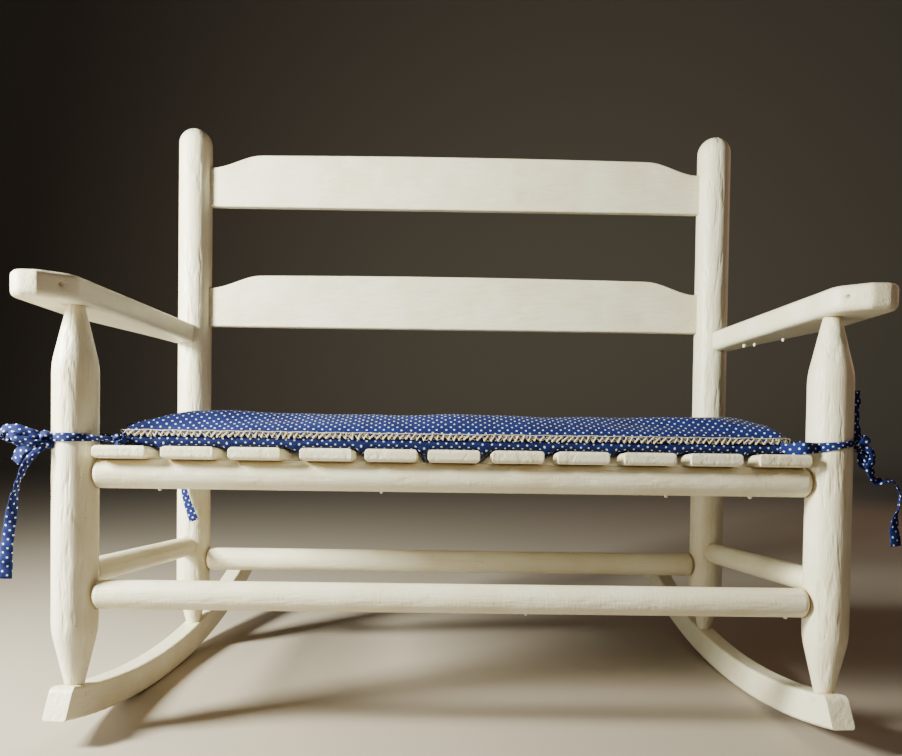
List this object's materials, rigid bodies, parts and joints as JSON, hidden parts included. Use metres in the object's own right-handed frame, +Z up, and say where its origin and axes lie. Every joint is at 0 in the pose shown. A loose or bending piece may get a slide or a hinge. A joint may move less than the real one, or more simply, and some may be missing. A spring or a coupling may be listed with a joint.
{
  "type": "rocking bench",
  "caption": "Child-size two-seat ladder-back rocking bench in cream paint, with arms, a slatted seat and a tied-on dotted cushion.",
  "frame": {"origin": "on the floor, at the centre of the bench's bounding box, with the bench at rest on its rockers", "axes": "+Z up, +X to the right of someone who looks at the front, the front faces -Y"},
  "size_m": [0.7219, 0.4416, 0.5711],
  "materials": {
    "paint": "cream semi-gloss paint brushed over softwood, yellowed and rubbed at the joints",
    "cotton": "printed blue cotton with small white dots",
    "braid": "cream crocheted cotton braid",
    "nails": "steel wire nails and wood screws, painted over"
  },
  "bodies": {
    "root": {"front_post_left": "paint", "front_post_right": "paint", "rear_post_left": "paint", "rear_post_right": "paint", "rocker_left": "paint", "rocker_right": "paint", "arm_left": "paint", "arm_right": "paint", "back_slat_top": "paint", "back_slat_lower": "paint", "seat_rail_front": "paint", "seat_rail_rear": "paint", "stretcher_front": "paint", "stretcher_rear": "paint", "stretcher_left": "paint", "stretcher_right": "paint", "seat_slat_01": "paint", "seat_slat_02": "paint", "seat_slat_03": "paint", "seat_slat_04": "paint", "seat_slat_05": "paint", "seat_slat_06": "paint", "seat_slat_07": "paint", "seat_slat_08": "paint", "seat_slat_09": "paint", "seat_slat_10": "paint", "seat_slat_11": "paint", "slat_nails": "nails", "rail_nails": "nails", "stretcher_nails": "nails", "back_slat_nails": "nails", "rocker_nails": "nails", "arm_nails": "nails", "arm_screws": "nails", "cushion": "cotton", "cushion_trim": "braid", "tie_front_left": "cotton", "tie_front_right": "cotton", "tie_rear_left": "cotton", "tie_rear_right": "cotton"}
  },
  "joints": []
}
